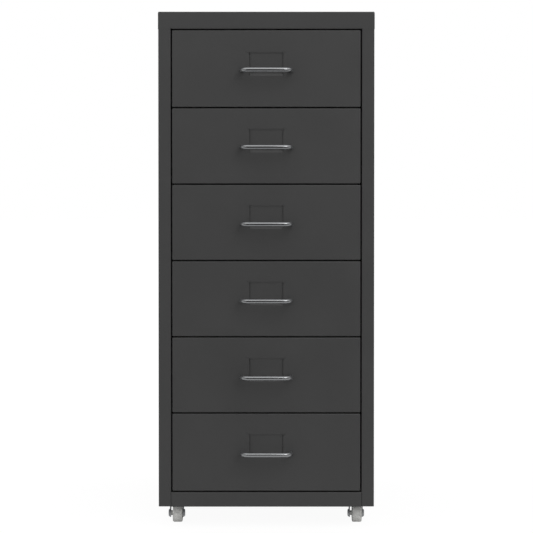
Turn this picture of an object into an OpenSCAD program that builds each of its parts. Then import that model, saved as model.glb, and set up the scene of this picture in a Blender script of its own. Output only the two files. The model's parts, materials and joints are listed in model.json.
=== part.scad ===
// Small steel drawer cabinet: a folded sheet carcass on four swivel castors,
// with six drawers that slide on folded runners. Millimetres, +Z up, front towards -Y.
// The origin is on the floor, under the middle of the whole cabinet.

/* [Cabinet] */
// Width over the side panels
body_w = 282; // [240:1:340]
// Depth from the faces of the stiles to the back of the side panels
body_d = 405; // [300:1:480]
// Height from the lower edge of the side panels to the top of the cap
body_h = 647.1; // [560:0.1:760]
// Height of the side panels' lower edge above the floor
ground_clear = 27.3; // [27:0.1:50]
// Thickness of the carcass sheet
sheet_t = 0.8; // [0.6:0.1:1.2]
// Inside radius of every fold
bend_r = 0.6; // [0.4:0.1:1.2]
// Width of each front stile
stile_w = 16.4; // [12:0.1:24]
// Depth of the lip behind each stile
jamb_d = 14; // [10:0.5:20]
// Width of the flange behind each side panel's rear edge
rear_flange_w = 14; // [11:0.5:22]
// Height of the folded hem along each side panel's lower edge
side_hem_h = 6; // [3:0.5:6.5]

/* [Cap] */
// Height of the cap's skirt
cap_h = 22.5; // [16:0.5:34]
// How far the cap stands out past the carcass on each side
cap_over = 0.25; // [0.1:0.05:0.6]
// Gap between the cap's skirt and what it slips over
cap_slip = 0.15; // [0.1:0.05:0.4]
// Seam between the cap's lower edge and the side panels
cap_seam = 0.3; // [0.2:0.1:0.8]
// Depth of the fold under the cap's front skirt
cap_return_d = 12; // [8:0.5:20]
// Width of the flanges that carry the cap
cap_flange_w = 12; // [8:0.5:20]

/* [Base] */
// Height of the rail under the lowest drawer
rail_h = 19.4; // [17:0.1:26]
// How far the rail hangs below the stiles
rail_drop = 0.5; // [0:0.1:2]
// Seam at each end of the rail
rail_seam = 0.2; // [0.1:0.1:0.5]
// Depth of the rail's lower leg
rail_leg_d = 12; // [8:0.5:13]
// Height of the bottom panel above the side panels' lower edge
base_lift = 8; // [7:0.5:8]

/* [Drawers] */
// Number of drawers
drawer_count = 6; // [5:1:6]
// Gap above, between and below the drawer fronts
front_gap = 1.4; // [1:0.1:2.5]
// Gap at each side of a drawer front
front_side_gap = 1.4; // [1.2:0.1:3]
// Extra height of the top front
top_front_extra = 1.9; // [0:0.1:4]
// Extra height of the bottom front
bottom_front_extra = 3.2; // [0:0.1:4]
// Thickness of the front sheet
front_t = 0.9; // [0.6:0.1:1.2]
// Depth of the flanges round a drawer front
front_flange_d = 12; // [8:0.5:13]
// Thickness of the drawer tray's sheet
tray_t = 0.7; // [0.5:0.1:1]
// Space between the tray of a closed drawer and the back panel
tray_rear_gap = 22.6; // [21:0.2:60]
// Height of the drawer tray's sides
tray_side_h = 86; // [50:1:90]
// Height of the tray's floor above the lower edge of its front
tray_rise = 4; // [3.5:0.5:8]
// Height of the folded hem along the tray's sides
tray_hem_h = 7; // [4:0.5:12]
// Width of the flanges that join the tray to its front and back
tray_flange_w = 12; // [8:0.5:18]
// Length of the tray that stays inside when a drawer is fully out
tray_hold = 80.8; // [60:0.2:140]

/* [Runners] */
// Thickness of the runner sheet
runner_t = 1; // [0.8:0.1:1.5]
// Width of the ledge under the tray
ledge_w = 9; // [6:0.5:16]
// Height of the guide step beside the tray
guide_h = 8; // [5:0.5:12]
// Length of the runner's leg below the ledge
leg_drop = 4; // [2:0.5:4.5]
// Space between the runners and the back of the cabinet
runner_rear_gap = 20; // [8:0.5:24]
// Gap under the tray's floor
run_gap = 0.3; // [0.2:0.1:0.6]
// Gap between the tray's side and the guide step
guide_gap = 0.5; // [0.3:0.1:1]
// Height of the stop tabs
stop_h = 10; // [6:0.5:14]
// How far the tray's stop tabs reach outwards
stop_reach = 6; // [4:0.5:9]
// Gap between the stop tabs when a drawer is fully out
stop_play = 0.5; // [0.2:0.1:2]

/* [Label holder] */
// Distance from a plain front's top edge to the holder
holder_drop = 26.3; // [20:0.1:30]
// Height of the holder with its slopes
holder_h = 31.6; // [24:0.1:40]
// Distance between the middles of the two slits
holder_w = 43.5; // [30:0.5:54]
// Width of each slit
slit_w = 0.3; // [0.2:0.05:1.2]
// Depth that the holder is pressed in
holder_push = 1.6; // [1:0.1:2.5]
// Height of each slope
holder_slope = 3.2; // [2:0.1:5]
// Outer radius of the curve at the top of each slit
slit_curve_r = 5; // [3:0.1:6]

/* [Handle] */
// Diameter of the handle wire
wire_d = 6; // [5.5:0.1:8]
// Distance between the handle's feet
handle_span = 64; // [58:0.5:100]
// Reach of the handle from the front
handle_reach = 27; // [20:0.5:40]
// Radius of each elbow along the middle of the wire
elbow_r = 9; // [6:0.5:12]
// Distance from a plain front's top edge to the handle's feet
handle_drop = 50.8; // [36:0.1:60]
// Depth of the tapped hole in each foot
tap_depth = 12; // [8:0.5:12.5]
// Diameter of the handle screw
handle_screw_d = 3.5; // [3:0.1:4]

/* [Screws] */
// Diameter of the sheet metal screws
screw_d = 3.5; // [2.9:0.1:4.2]
// Diameter of the screw heads
head_d = 7; // [6:0.1:7.5]
// Height of the screw heads
head_h = 1.8; // [1.4:0.1:2.4]
// Length of the sheet metal screws under the head
screw_len = 8; // [5:0.5:9]
// Play between a screw and its hole, on the diameter
screw_play = 0.4; // [0.2:0.1:0.8]

/* [Castors] */
// Distance from the cabinet's side to a castor's swivel axis
castor_inset_x = 22; // [21.5:0.5:40]
// Distance from the cabinet's front or back to a castor's swivel axis
castor_inset_y = 49; // [45:1:70]
// Side of the square mounting plate
plate_w = 38; // [37:0.5:40]
// Thickness of the mounting plate
plate_t = 1.5; // [1.2:0.1:2]
// Spacing of the plate's screws
plate_hole_gap = 27; // [26:0.5:28]
// Wheel diameter
wheel_d = 24; // [20:0.5:24]
// Width of the tread
tread_w = 12.8; // [9:0.1:13]
// Diameter of the wheel's hub
hub_d = 6.4; // [5.4:0.1:9]
// Distance from the swivel axis to the axle
trail = 9; // [8.5:0.5:12]
// Inside width of the fork
fork_gap = 15.6; // [15:0.1:18]
// Thickness of the fork's sheet
fork_t = 1.3; // [1:0.1:1.5]
// Gap between the tread and the nearer fork leg
tread_play = 0.2; // [0.2:0.1:0.6]
// Gap between the wheel's top and the fork's crown
crown_gap = 1.4; // [1.3:0.1:2]
// Outer diameter of the fork's crown
crown_d = 28.8; // [28.5:0.1:30]
// Radius of the fork legs' round ends
leg_end_r = 5.7; // [5.2:0.1:7]
// Diameter of the axle
axle_d = 4; // [3:0.1:4.2]
// Diameter of the axle's heads
axle_head_d = 10; // [6:0.5:11]
// Thickness of the axle's heads
axle_head_h = 1.9; // [1:0.1:2.2]
// Radial clearance of the axle in the wheel and of the kingpin in the crown
running_fit = 0.05; // [0.02:0.01:0.09]
// Diameter of the kingpin
kingpin_d = 6; // [5:0.1:6.5]
// Diameter of the kingpin's lower head
kingpin_head_d = 9.6; // [8:0.1:10]
// Diameter of the bearing balls
ball_d = 3; // [2.5:0.1:3]
// Number of balls in a castor
ball_count = 12; // [8:1:16]

/* [Hidden] */
$fn = 64;
eps = 0.05;
corners = ["front_left", "front_right", "rear_left", "rear_right"];
castor_pieces = ["plate", "fork", "axle", "wheel"];
drawer_pieces = ["front", "tray", "back", "handle", "screws"];

steel_grey = "#424242";
zinc = "#8d9094";
chrome = "#c9ccd0";
wheel_grey = "#a4a6a8";

// Heights
skirt_z = ground_clear;
top_z = skirt_z + body_h;
cap_z = top_z - cap_h;
rail_z = skirt_z - rail_drop;
rail_top_z = rail_z + rail_h;
base_z = skirt_z + base_lift;
opening_h = cap_z - rail_top_z;

// Places along Y
total_d = handle_reach + body_d + cap_over + head_h;
front_y = handle_reach - total_d / 2;
back_y = front_y + body_d;
side_in_x = body_w / 2 - sheet_t;
jamb_end_y = front_y + jamb_d;
panel_in_y = back_y - 2 * sheet_t;

// Drawer fronts, counted from the top
opening_w = body_w - 2 * stile_w;
front_w = opening_w - 2 * front_side_gap;
front_h = (opening_h - (drawer_count + 1) * front_gap - top_front_extra - bottom_front_extra) / drawer_count;
function height_of(i) = front_h + (i == 1 ? top_front_extra : 0) + (i == drawer_count ? bottom_front_extra : 0);
function top_of(i) = cap_z - front_gap - (i - 1) * (front_h + front_gap) - (i > 1 ? top_front_extra : 0);
function bottom_of(i) = top_of(i) - height_of(i);
// The top front's extra height is above its holder and handle.
function plain_top_of(i) = top_of(i) - (i == 1 ? top_front_extra : 0);
function floor_of(i) = bottom_of(i) + tray_rise;

// Trays, and the stops that hold them in
tray_w = front_w - 2 * front_t;
tray_y = front_y + front_t;
tray_end_y = panel_in_y - tray_rear_gap;
tray_len = tray_end_y - tray_y;
drawer_travel = tray_end_y - front_y - tray_hold;
tray_corner = 4 * (bend_r + tray_t);
tab_inset = 10;
tab_clear = 2;
tab_lift = guide_h + tab_clear;
tab_y = tray_end_y - tab_inset;
tab_h = stop_h - tab_clear;
stop_y = tab_y - drawer_travel - runner_t - stop_play;
back_drop = 1;
back_edge = tray_t + bend_r;
back_h = tray_side_h - tray_hem_h - back_drop;

// Runners
runner_front_gap = 2;
runner_y = jamb_end_y + runner_front_gap;
runner_len = back_y - runner_rear_gap - runner_y;
guide_x = tray_w / 2 + guide_gap;
stop_x = guide_x + runner_t;
stop_w = side_in_x - stop_x - 5;

// Joints in the shell
inset = sheet_t - cap_over + cap_slip;
lap_h = 3;
edge_lap = 1;
end_relief = 3;
cap_edge_z = top_z - 2 * sheet_t - bend_r;
joggle_end_y = panel_in_y - 0.4;
joggle_tab_w = stile_w - inset - 1;
corner_relief = 5;
base_fit = 0.6;
base_start_y = jamb_end_y + base_fit;
base_flat_y = base_start_y + bend_r + sheet_t;
base_wall_h = rail_top_z - sheet_t - base_z;
ear_play = 0.3;
ear_x = body_w / 2 - stile_w + sheet_t + ear_play;
ear_y = front_y + sheet_t + bend_r;
panel_fit = 0.1;
back_panel_w = 2 * (side_in_x - bend_r - panel_fit);
flange_screw_count = 5;
flange_screw_end = 26;
flange_screw_gap = (cap_z - skirt_z - 2 * flange_screw_end) / (flange_screw_count - 1);
flange_screw_x = body_w / 2 - rear_flange_w / 2;
flange_screws_z = [for (k = [0:flange_screw_count - 1]) skirt_z + flange_screw_end + k * flange_screw_gap];
cap_screw_z = top_z - cap_h / 2;
base_screw_z = (base_z + rail_top_z) / 2;
rear_screw_gap = 96;
rear_screws_x = [for (k = [-1:1]) k * rear_screw_gap];

// Castors
castor_x = body_w / 2 - castor_inset_x;
castor_y = [front_y + castor_inset_y, back_y - castor_inset_y];
axle_z = wheel_d / 2;
crown_z = wheel_d + crown_gap;
crown_top_z = crown_z + fork_t;
race_play = 0.1;
rim_gap = 0.4;
dish_z = crown_top_z + ball_d + 2 * race_play;
dish_r = crown_d / 2 - 1;
dish_cone = 2;
plate_z = base_z - plate_t;
rim_top_z = dish_z - rim_gap;
ball_ring_r = crown_d / 2 - fork_t - ball_d / 2 - rim_gap;
plate_corner_r = 4;
kingpin_head_h = 1.2;
leg_x = fork_gap / 2;
leg_root = 0.31;
tread_x = leg_x - tread_play - tread_w;
tread_chamfer = 1.4;
tread_wall = 2.8;
wheel_dish = 3;
dish_draft = 1;
dish_outer_r = wheel_d / 2 - tread_wall;

// Turns a flat drawing into a bar along one axis, from a start and for a length.
module along_x(start, length) { translate([start, 0, 0]) rotate([90, 0, 90]) linear_extrude(length) children(); }
module along_y(start, length) { translate([0, start + length, 0]) rotate([90, 0, 0]) linear_extrude(length) children(); }
module along_z(start, length) { translate([0, 0, start]) linear_extrude(length) children(); }

// A section of folded sheet. It walks along runs between sharp corners, turns 90 left or -90 right at
// each, and keeps the sheet on its left.
function setback(turn, t) = turn > 0 ? bend_r + t : bend_r;
module fold(runs, turns, t = sheet_t, i = 0) {
    before = i == 0 ? 0 : setback(turns[i - 1], t);
    after = i == len(turns) ? 0 : setback(turns[i], t);
    flat = runs[i] - before - after;
    square([flat, t]);
    if (i < len(turns)) translate([flat, 0]) {
        bend(turns[i], t);
        translate(turns[i] > 0 ? [bend_r + t, bend_r + t] : [bend_r, -bend_r])
            rotate(turns[i]) fold(runs, turns, t, i + 1);
    }
}
module bend(turn, t) {
    outer = bend_r + t;
    translate([0, turn > 0 ? outer : -bend_r]) intersection() {
        difference() { circle(outer); circle(bend_r); }
        translate([0, turn > 0 ? -outer : 0]) square(outer);
    }
}

// A pan of folded sheet, open below: w along X, d along Y from 0, h high.
module shouldered(w, h, r) {
    translate([-w / 2, 0]) square([w, h - r]);
    translate([r - w / 2, 0]) square([w - 2 * r, h]);
    for (s = [-1, 1]) translate([s * (w / 2 - r), h - r]) circle(r);
}
module round_topped(w, d, h, r) {
    intersection() {
        along_y(0, d) shouldered(w, h, r);
        along_x(-w / 2, w) translate([d / 2, 0]) shouldered(d, h, r);
    }
}
module pan(w, d, h, t = sheet_t) {
    difference() {
        round_topped(w, d, h, bend_r + t);
        translate([0, t, -1]) round_topped(w - 2 * t, d - 2 * t, h - t + 1, bend_r);
    }
}

// A pan head screw that points along +Z, with its head's seat at 0.
module screw(length, d = screw_d, head = head_d) {
    difference() {
        union() {
            translate([0, 0, -eps]) cylinder(h = length - d / 3 + eps, d = d);
            translate([0, 0, length - d / 3]) cylinder(h = d / 3, d1 = d, d2 = d / 3);
            mirror([0, 0, 1]) rotate_extrude() polygon([
                [0, 0], [head / 2, 0], [head / 2, head_h * 0.45], [head * 0.36, head_h], [0, head_h]
            ]);
        }
        for (a = [0, 90]) rotate(a) translate([-head * 0.24, -0.4, -head_h - 1]) cube([head * 0.48, 0.8, 2]);
    }
}
module hole(length, d = screw_d) { translate([0, 0, -length]) cylinder(h = 2 * length, d = d + screw_play); }

// Puts its children at each place where a screw goes through the rear of the shell, pointing forwards.
module at_flange_screws(sides) {
    for (s = sides, z = flange_screws_z) translate([s * flange_screw_x, back_y, z]) rotate([90, 0, 0]) children();
}
module at_cap_screws() {
    for (x = rear_screws_x) translate([x, back_y + cap_over, cap_screw_z]) rotate([90, 0, 0]) children();
}
module at_base_screws() {
    for (x = rear_screws_x) translate([x, back_y - sheet_t, base_screw_z]) rotate([90, 0, 0]) children();
}
// Puts its children at each castor's swivel axis, on the floor.
module at_castors() {
    for (x = [-castor_x, castor_x], y = castor_y) translate([x, y, 0]) children();
}
module at_plate_screws() {
    for (x = [-1, 1], y = [-1, 1]) translate([x, y, 0] * plate_hole_gap / 2) children();
}

// Shell
// The section of an edge folded over to carry the cap. Its outer face is at 0 and its top meets the cap.
module carrying_edge() {
    rise = sheet_t + bend_r + edge_lap;
    translate([0, top_z - sheet_t - rise]) rotate(90) fold([rise, cap_flange_w], [90]);
}
module right_side() {
    difference() {
        union() {
            along_z(skirt_z, cap_z - cap_seam - skirt_z)
                translate([body_w / 2 - stile_w, jamb_end_y]) rotate(-90)
                    fold([jamb_d, stile_w, body_d, rear_flange_w], [90, 90, 90]);
            // The upper edge is stepped in, to go inside the cap.
            along_z(cap_z - cap_seam - lap_h, cap_edge_z - cap_z + cap_seam + lap_h)
                translate([body_w / 2 - inset - joggle_tab_w, front_y + inset])
                    fold([joggle_tab_w, joggle_end_y - front_y - inset], [90]);
            along_z(cap_z - cap_seam - lap_h, lap_h)
                translate([body_w / 2 - inset - joggle_tab_w, front_y + sheet_t - eps])
                    fold([joggle_tab_w + inset - sheet_t + eps, joggle_end_y - front_y - sheet_t + eps], [90],
                         t = inset + eps);
            along_y(front_y + end_relief, body_d - cap_flange_w - end_relief - corner_relief)
                translate([body_w / 2 - inset, 0]) carrying_edge();
            // Hem along the lower edge
            translate([side_in_x - sheet_t, front_y + end_relief, skirt_z])
                cube([sheet_t + eps, body_d - 2 * end_relief, side_hem_h]);
        }
        at_flange_screws([1]) hole(4);
    }
}
module right_side_panel() { color(steel_grey) right_side(); }
module left_side_panel() { color(steel_grey) mirror([1, 0, 0]) right_side(); }

module back_panel() {
    w = back_panel_w;
    color(steel_grey) difference() {
        union() {
            translate([-w / 2, panel_in_y, skirt_z]) cube([w, sheet_t, cap_edge_z - skirt_z]);
            along_x(end_relief - w / 2, w - 2 * end_relief)
                translate([panel_in_y + sheet_t, 0]) carrying_edge();
        }
        at_flange_screws([-1, 1]) hole(4);
        at_cap_screws() hole(4);
        at_base_screws() hole(4);
    }
}

module top_cap() {
    w = body_w + 2 * cap_over;
    color(steel_grey) difference() {
        union() {
            translate([0, front_y - cap_over, cap_z]) pan(w, body_d + 2 * cap_over, cap_h);
            translate([-opening_w / 2, front_y + sheet_t / 2 - cap_over, cap_z])
                cube([opening_w, cap_return_d, sheet_t]);
        }
        at_cap_screws() hole(1.2);
    }
}

module bottom_panel() {
    color(steel_grey) difference() {
        union() {
            difference() {
                translate([0, base_start_y, base_z + base_wall_h]) mirror([0, 0, 1])
                    pan(2 * side_in_x, panel_in_y - base_start_y, base_wall_h);
                // The front wall stops short of the ears.
                for (s = [0, 1]) mirror([s, 0, 0]) translate([ear_x - ear_play, base_start_y - 1, base_z - 1])
                    cube([stile_w, base_flat_y - base_start_y + 1, base_wall_h + 2]);
            }
            // Ears of the floor, which close the feet of the stiles
            for (s = [0, 1]) mirror([s, 0, 0]) translate([ear_x, ear_y, base_z])
                cube([side_in_x - ear_play - ear_x, base_flat_y - ear_y, sheet_t]);
        }
        at_base_screws() hole(4);
        at_castors() at_plate_screws() translate([0, 0, base_z]) hole(2);
    }
}

module bottom_rail() {
    length = opening_w - 2 * rail_seam;
    upper_d = base_start_y - front_y + sheet_t + bend_r;
    color(steel_grey) along_x(-length / 2, length) translate([front_y + upper_d, rail_top_z]) rotate(180)
        fold([upper_d, rail_h, rail_leg_d], [90, 90]);
}

module runner(i) {
    ledge_z = floor_of(i) - run_gap;
    along_y(runner_y, runner_len) translate([side_in_x, ledge_z - leg_drop]) rotate(90)
        fold([leg_drop + guide_h, side_in_x - guide_x, guide_h, ledge_w], [90, 90, -90], runner_t);
    // Stop tab, bent up out of the guide step
    translate([stop_x, stop_y, ledge_z + guide_h - runner_t / 2])
        cube([stop_w, runner_t, stop_h + runner_t / 2]);
}
module right_runners() { color(zinc) for (i = [1:drawer_count]) runner(i); }
module left_runners() { color(zinc) mirror([1, 0, 0]) for (i = [1:drawer_count]) runner(i); }

module shell_screws() {
    color(zinc) {
        at_flange_screws([-1, 1]) screw(screw_len);
        at_cap_screws() screw(screw_len);
        at_base_screws() screw(screw_len);
    }
}

// Drawers
module holder_cut() {
    w = holder_w + slit_w;
    translate([-w / 2, -holder_drop - holder_h]) square([w, holder_h]);
    // Each slit curves outwards at its top.
    for (s = [0, 1]) mirror([s, 0]) translate([(holder_w - slit_w) / 2 + slit_curve_r, -holder_drop - slit_curve_r])
        intersection() {
            difference() { circle(slit_curve_r); circle(slit_curve_r - slit_w); }
            translate([-slit_curve_r, 0]) square(slit_curve_r);
        }
}
module holder_bridge() {
    w = holder_w - slit_w;
    low = -holder_drop - holder_h;
    along_x(-w / 2, w) polygon([
        [0, low - eps], [0, low], [holder_push, low + holder_slope],
        [holder_push, -holder_drop - holder_slope], [0, -holder_drop], [0, eps - holder_drop],
        [front_t, eps - holder_drop], [front_t, -holder_drop],
        [holder_push + front_t, -holder_drop - holder_slope],
        [holder_push + front_t, low + holder_slope], [front_t, low], [front_t, low - eps]
    ]);
}
module drawer_front(i) {
    color(steel_grey) {
        difference() {
            translate([0, front_y + front_flange_d, bottom_of(i)]) rotate([90, 0, 0])
                pan(front_w, height_of(i), front_flange_d, front_t);
            translate([0, 0, plain_top_of(i)]) along_y(front_y - 1, front_t + 2) holder_cut();
            at_feet(i) mirror([0, 0, 1]) hole(4, handle_screw_d);
        }
        translate([0, front_y, plain_top_of(i)]) holder_bridge();
    }
}

// The flanges at one end of a tray, one at each side and one along the floor, with their faces at y = 0.
module tray_end(z) {
    for (s = [0, 1]) mirror([s, 0, 0]) along_z(z + tray_corner, tray_side_h - tray_corner - tray_hem_h)
        translate([tray_w / 2 - tray_flange_w, 0]) fold([tray_flange_w, tray_corner + 1], [90], tray_t);
    along_x(tray_flange_w - tray_w / 2, tray_w - 2 * tray_flange_w)
        translate([0, z + tray_flange_w]) rotate(-90) fold([tray_flange_w, tray_corner + 1], [90], tray_t);
}
module drawer_tray(i) {
    z = floor_of(i);
    color(steel_grey) {
        along_y(tray_y + tray_corner, tray_len - 2 * tray_corner) {
            translate([-tray_w / 2, z + tray_side_h]) rotate(-90)
                fold([tray_side_h, tray_w, tray_side_h], [90, 90], tray_t);
            for (s = [0, 1]) mirror([s, 0]) translate([tray_w / 2 - 2 * tray_t, z + tray_side_h - tray_hem_h])
                square([tray_t + eps, tray_hem_h]);
        }
        translate([0, tray_y, 0]) tray_end(z);
        translate([0, tray_end_y, 0]) mirror([0, 1, 0]) tray_end(z);
        // Stop tabs near the rear end
        for (s = [0, 1]) mirror([s, 0, 0]) translate([tray_w / 2 - eps, tab_y, z + tab_lift])
            cube([stop_reach + eps, tray_t, tab_h]);
    }
}

module drawer_back(i) {
    z = floor_of(i) + back_edge;
    w = tray_w - 2 * back_edge;
    color(steel_grey) {
        translate([-w / 2, tray_end_y - 2 * tray_t, z]) cube([w, tray_t, back_h]);
        // Hem along the upper edge
        translate([-w / 2, tray_end_y - 3 * tray_t, z + back_h - tray_hem_h]) cube([w, tray_t + eps, tray_hem_h]);
    }
}

// Puts its children at each foot of a handle, with +Z pointing forwards out of the front's outer face.
module at_feet(i) {
    for (s = [-1, 1])
        translate([s * handle_span / 2, front_y, plain_top_of(i) - handle_drop]) rotate([90, 0, 0]) children();
}
module drawer_handle(i) {
    leg = handle_reach - wire_d / 2 - elbow_r;
    bar = handle_span - 2 * elbow_r;
    color(chrome) difference() {
        union() {
            at_feet(i) cylinder(h = leg, d = wire_d);
            translate([0, front_y - leg, plain_top_of(i) - handle_drop]) {
                for (s = [0, 1]) mirror([s, 0, 0]) translate([bar / 2, 0, 0]) rotate(-90)
                    rotate_extrude(angle = 90) translate([elbow_r, 0]) circle(d = wire_d);
                translate([-bar / 2, -elbow_r, 0]) rotate([0, 90, 0]) cylinder(h = bar, d = wire_d);
            }
        }
        at_feet(i) translate([0, 0, -1]) cylinder(h = tap_depth + 1, d = handle_screw_d + 0.1);
    }
}
module drawer_screws(i) {
    color(zinc) at_feet(i) translate([0, 0, -front_t]) screw(tap_depth - 2, handle_screw_d, head_d + 0.6);
}

// Castors
module castor_plate(c) {
    color(zinc) translate(c) difference() {
        union() {
            along_z(plate_z, plate_t) difference() {
                square(plate_w, center = true);
                for (a = [0:90:270]) rotate(a) translate([1, 1] * (plate_w / 2 - plate_corner_r)) difference() {
                    square(plate_corner_r + 1);
                    circle(plate_corner_r);
                }
            }
            translate([0, 0, dish_z]) cylinder(h = plate_z - dish_z + eps, r1 = dish_r, r2 = dish_r + dish_cone);
        }
        translate([0, 0, dish_z + plate_t])
            cylinder(h = base_z - dish_z, r1 = dish_r - plate_t / 2,
                     r2 = dish_r - plate_t / 2 + dish_cone * (base_z - dish_z) / (plate_z - dish_z));
        translate([0, 0, dish_z - 1]) cylinder(h = plate_t + 2, d = kingpin_d + 2 * running_fit);
        at_plate_screws() translate([0, 0, plate_z]) hole(3);
    }
}
module castor_fork(c) {
    leg_h = crown_z - axle_z;
    color(zinc) translate(c) difference() {
        union() {
            translate([0, 0, crown_z]) difference() {
                cylinder(h = rim_top_z - crown_z, d = crown_d);
                translate([0, 0, fork_t]) cylinder(h = rim_top_z, d = crown_d - 2 * fork_t);
            }
            for (x = [-leg_x - fork_t, leg_x]) along_x(x, fork_t) translate([-trail, axle_z]) {
                circle(leg_end_r);
                polygon([
                    [-leg_end_r, 0], [leg_end_r, 0], [trail + crown_d * leg_root, leg_h - 1],
                    [trail + crown_d * leg_root, leg_h + fork_t / 2], [-leg_end_r * 0.4, leg_h + fork_t / 2],
                    [-leg_end_r, leg_h - leg_end_r]
                ]);
            }
        }
        translate([0, 0, crown_z - 1]) cylinder(h = fork_t + 2, d = kingpin_d + 2 * running_fit);
        translate([-leg_x - 3, -trail, axle_z]) rotate([0, 90, 0]) cylinder(h = fork_gap + 6, d = axle_d);
    }
}
module castor_axle(c) {
    head_x = leg_x + fork_t;
    color(zinc) translate(c) translate([0, -trail, axle_z]) rotate([0, 90, 0]) {
        translate([0, 0, -head_x - eps]) cylinder(h = 2 * (head_x + eps), d = axle_d);
        for (s = [0, 1]) mirror([0, 0, s]) translate([0, 0, head_x]) rotate_extrude() polygon([
            [0, 0], [axle_head_d / 2, 0], [axle_head_d / 2, axle_head_h * 0.5],
            [axle_head_d / 2 - 1, axle_head_h], [0, axle_head_h]
        ]);
    }
}
module castor_wheel(c) {
    bore_r = axle_d / 2 + running_fit;
    hub_x = leg_x - tread_play;
    r = wheel_d / 2;
    color(wheel_grey) translate(c) translate([0, -trail, axle_z]) rotate([0, 90, 0]) rotate_extrude() polygon([
        [bore_r, -hub_x], [hub_d / 2, -hub_x], [hub_d / 2, tread_x + wheel_dish],
        [dish_outer_r - dish_draft, tread_x + wheel_dish], [dish_outer_r, tread_x], [r - tread_chamfer, tread_x],
        [r, tread_x + tread_chamfer], [r, tread_x + tread_w - tread_chamfer],
        [r - tread_chamfer, tread_x + tread_w], [dish_outer_r, tread_x + tread_w],
        [dish_outer_r - dish_draft, tread_x + tread_w - wheel_dish], [hub_d / 2, tread_x + tread_w - wheel_dish],
        [hub_d / 2, hub_x], [bore_r, hub_x]
    ]);
}
module castor_kingpins() {
    low_z = crown_z - race_play - kingpin_head_h;
    top_seat_z = dish_z + plate_t;
    color(zinc) at_castors() {
        translate([0, 0, low_z]) cylinder(h = kingpin_head_h, d = kingpin_head_d);
        translate([0, 0, low_z]) cylinder(h = top_seat_z - low_z + eps, d = kingpin_d);
        translate([0, 0, top_seat_z]) cylinder(h = kingpin_head_h, d1 = kingpin_head_d, d2 = kingpin_d);
    }
}
module castor_balls() {
    color(chrome) at_castors() for (k = [0:ball_count - 1]) rotate(k * 360 / ball_count)
        translate([ball_ring_r, 0, crown_top_z + race_play + ball_d / 2]) sphere(d = ball_d);
}
module castor_screws() {
    color(zinc) at_castors() at_plate_screws() translate([0, 0, plate_z]) screw(screw_len);
}

left_side_panel();
right_side_panel();
back_panel();
top_cap();
bottom_panel();
bottom_rail();
left_runners();
right_runners();
shell_screws();
castor_screws();
castor_kingpins();
castor_balls();
for (k = [0:3]) {
    c = [k % 2 == 0 ? -castor_x : castor_x, castor_y[floor(k / 2)], 0];
    name = str("castor_", corners[k], "_");
    castor_plate(c);
    castor_fork(c);
    castor_axle(c);
    castor_wheel(c);
}
for (i = [1:drawer_count]) {
    name = str("drawer_", i, "_");
    drawer_front(i);
    drawer_tray(i);
    drawer_back(i);
    drawer_handle(i);
    drawer_screws(i);
}
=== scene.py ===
"""A small folded-steel drawer cabinet on four swivel castors.

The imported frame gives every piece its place. This script models the pieces that show as folded sheet, bent
wire, pressings and mouldings, and gives each its finish. All lengths are in metres, +Z up, front towards -Y.
"""

import sys
import json
import logging
import math
from collections.abc import Callable, Iterable, Sequence
from dataclasses import dataclass, field
from enum import Enum

import bmesh
import bpy
from bmesh.types import BMEdge, BMesh, BMFace, BMVert
from mathutils import Matrix, Vector

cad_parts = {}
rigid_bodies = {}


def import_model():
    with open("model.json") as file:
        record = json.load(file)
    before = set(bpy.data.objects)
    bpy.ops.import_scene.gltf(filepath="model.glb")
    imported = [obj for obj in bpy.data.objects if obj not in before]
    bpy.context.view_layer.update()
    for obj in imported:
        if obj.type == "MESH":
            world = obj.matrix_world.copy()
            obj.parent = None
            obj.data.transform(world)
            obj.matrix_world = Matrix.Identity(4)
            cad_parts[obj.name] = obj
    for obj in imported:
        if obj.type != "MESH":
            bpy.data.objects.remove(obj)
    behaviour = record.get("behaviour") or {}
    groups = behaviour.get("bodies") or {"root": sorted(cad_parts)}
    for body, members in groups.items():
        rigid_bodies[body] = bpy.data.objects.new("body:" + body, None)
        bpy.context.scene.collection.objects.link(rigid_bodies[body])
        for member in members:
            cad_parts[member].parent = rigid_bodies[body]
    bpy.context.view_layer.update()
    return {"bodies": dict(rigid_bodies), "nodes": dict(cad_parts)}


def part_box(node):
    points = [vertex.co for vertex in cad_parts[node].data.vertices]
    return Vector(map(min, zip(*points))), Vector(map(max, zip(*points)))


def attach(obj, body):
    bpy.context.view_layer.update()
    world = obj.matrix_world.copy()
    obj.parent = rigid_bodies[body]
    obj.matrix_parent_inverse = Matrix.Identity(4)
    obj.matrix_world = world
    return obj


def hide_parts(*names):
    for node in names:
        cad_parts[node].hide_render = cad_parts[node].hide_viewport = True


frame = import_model()

MM = 0.001
# Points nearer than NEAR lie in one plane or ring, those nearer than MERGE are one, and an edge shorter than
# SLIVER is a leftover of a cut.
NEAR = 0.01 * MM
MERGE = 0.001 * MM
SLIVER = 0.002 * MM
# An edge bent by more than FOLD_ANGLE is a fold, and one by more than SHARP_ANGLE is shaded as sharp. Faces
# that differ by less than FLAT_ANGLE are one face.
FOLD_ANGLE = math.radians(60)
SHARP_ANGLE = math.radians(32)
FLAT_ANGLE = 0.01
# The most that a fold takes of the flange beside it, how often the sheet is looked over for folds, and the
# digits that are kept of a radius in metres, so that like folds are pressed together.
FOLD_SHARE = 0.49
FOLD_PASSES = 4
RADIUS_DIGITS = 7
# Steps across a fold, a rounded ring of a turned piece and a broken edge, and facets of a drill.
FOLD_STEPS = 4
RING_STEPS = 3
EDGE_STEPS = 2
DRILL_FACETS = 24
# A direction whose share along another is over ALONG runs along it.
ALONG = 0.9
X = Vector((1, 0, 0))
Y = Vector((0, 1, 0))
Z = Vector((0, 0, 1))
log = logging.getLogger("cabinet")


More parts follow.
